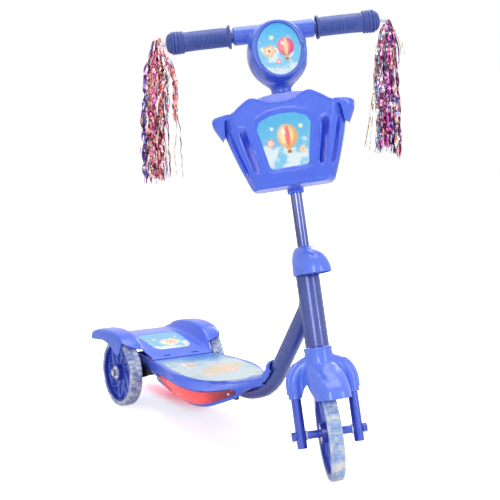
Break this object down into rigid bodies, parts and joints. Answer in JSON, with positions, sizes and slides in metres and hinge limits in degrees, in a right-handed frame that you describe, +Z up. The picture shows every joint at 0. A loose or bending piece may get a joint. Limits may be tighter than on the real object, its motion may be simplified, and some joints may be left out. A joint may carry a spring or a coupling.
{
  "type": "three wheel kids scooter",
  "caption": "Child's three wheel kick scooter: raked steering column with basket, lamp-shaped head and tasselled grips, lit deck, and a rear cover that presses on the wheels as a brake.",
  "frame": {"origin": "middle of the footprint, on the ground", "axes": "+Z up, -Y the way the scooter travels, +X the rider's left; at rest the steering is turned 29 degrees to the rider's right"},
  "size_m": [0.3496, 0.6546, 0.6586],
  "materials": {
    "blue_plastic": "gloss moulded",
    "blue_paint": "gloss paint",
    "dark_blue_paint": "bright metallic paint",
    "hub_plastic": "gloss moulded",
    "clear_tyre": "clear soft plastic",
    "grip_rubber": "satin",
    "black_steel": "satin",
    "bright_steel": "bright",
    "red_lens": "gloss, lit",
    "printed_sky": "printed, gloss",
    "light_board": "matt",
    "dark_plastic": "matt",
    "cell": "satin",
    "foil": "metallic foil strips",
    "clear_plastic": "gloss"
  },
  "bodies": {
    "frame": {"main_frame": "blue_paint", "head_bush_lower": "dark_plastic", "head_bush_upper": "dark_plastic", "deck_shell": "blue_plastic", "deck_sheet": "printed_sky", "lens_right": "red_lens", "lens_left": "red_lens", "light_board_right": "light_board", "light_board_left": "light_board", "battery_box": "dark_plastic", "battery_cell_inner": "cell", "battery_cell_outer": "cell", "battery_lid": "dark_plastic", "switch_housing": "dark_plastic", "deck_bolt_front": "bright_steel", "deck_bolt_rear": "bright_steel", "axle_bracket": "black_steel", "rear_axle": "bright_steel", "rear_nut_right": "bright_steel", "rear_nut_left": "bright_steel", "rear_spacer_right": "bright_steel", "rear_spacer_left": "bright_steel", "cover_pin": "bright_steel", "cover_spring": "bright_steel", "head_cap": "blue_plastic"},
    "steering": {"fork": "blue_paint", "front_axle": "bright_steel", "front_nut": "bright_steel", "front_spacer_right": "bright_steel", "front_spacer_left": "bright_steel", "fork_cover": "blue_plastic", "column": "dark_blue_paint", "basket": "blue_plastic", "basket_panel": "printed_sky", "lamp_body": "blue_plastic", "lamp_bezel": "blue_plastic", "lamp_disc": "printed_sky", "handlebar": "blue_paint", "grip_right": "grip_rubber", "grip_left": "grip_rubber", "tassel_plug_right": "clear_plastic", "tassel_plug_left": "clear_plastic", "tassel_right": "foil", "tassel_left": "foil"},
    "front_wheel": {"front_wheel_hub": "hub_plastic", "front_wheel_tyre": "clear_tyre", "front_wheel_bearing_right": "bright_steel", "front_wheel_bearing_left": "bright_steel"},
    "rear_wheel_right": {"rear_wheel_right_hub": "hub_plastic", "rear_wheel_right_tyre": "clear_tyre", "rear_wheel_right_bearing_right": "bright_steel", "rear_wheel_right_bearing_left": "bright_steel"},
    "rear_wheel_left": {"rear_wheel_left_hub": "hub_plastic", "rear_wheel_left_tyre": "clear_tyre", "rear_wheel_left_bearing_right": "bright_steel", "rear_wheel_left_bearing_left": "bright_steel"},
    "rear_cover": {"rear_cover": "blue_plastic", "cover_sheet": "printed_sky"},
    "light_switch": {"light_switch": "dark_plastic"}
  },
  "joints": [
    {"name": "steering", "type": "hinge", "parent": "frame", "child": "steering", "pos_m": [0, -0.26467, 0.06789], "axis": [0, 0.2639, 0.9646], "range_deg": [-16, 74]},
    {"name": "front_wheel_spin", "type": "hinge", "parent": "steering", "child": "front_wheel", "pos_m": [0, -0.26467, 0.06789], "axis": [0.8746, -0.4676, 0.1279], "continuous": true},
    {"name": "rear_wheel_right_spin", "type": "hinge", "parent": "frame", "child": "rear_wheel_right", "pos_m": [-0.0835, 0.21733, 0.0585], "axis": [1, 0, 0], "continuous": true},
    {"name": "rear_wheel_left_spin", "type": "hinge", "parent": "frame", "child": "rear_wheel_left", "pos_m": [0.0835, 0.21733, 0.0585], "axis": [1, 0, 0], "continuous": true},
    {"name": "heel_brake", "type": "hinge", "parent": "frame", "child": "rear_cover", "pos_m": [0, 0.15533, 0.0872], "axis": [-1, 0, 0], "range_deg": [0, 3.2], "stiffness_Nm_per_rad": 3, "springref_deg": -6.88, "deforming": ["cover_spring"]},
    {"name": "light_switch_slide", "type": "slide", "parent": "frame", "child": "light_switch", "axis": [0, 1, 0], "range_m": [0, 0.004]}
  ]
}
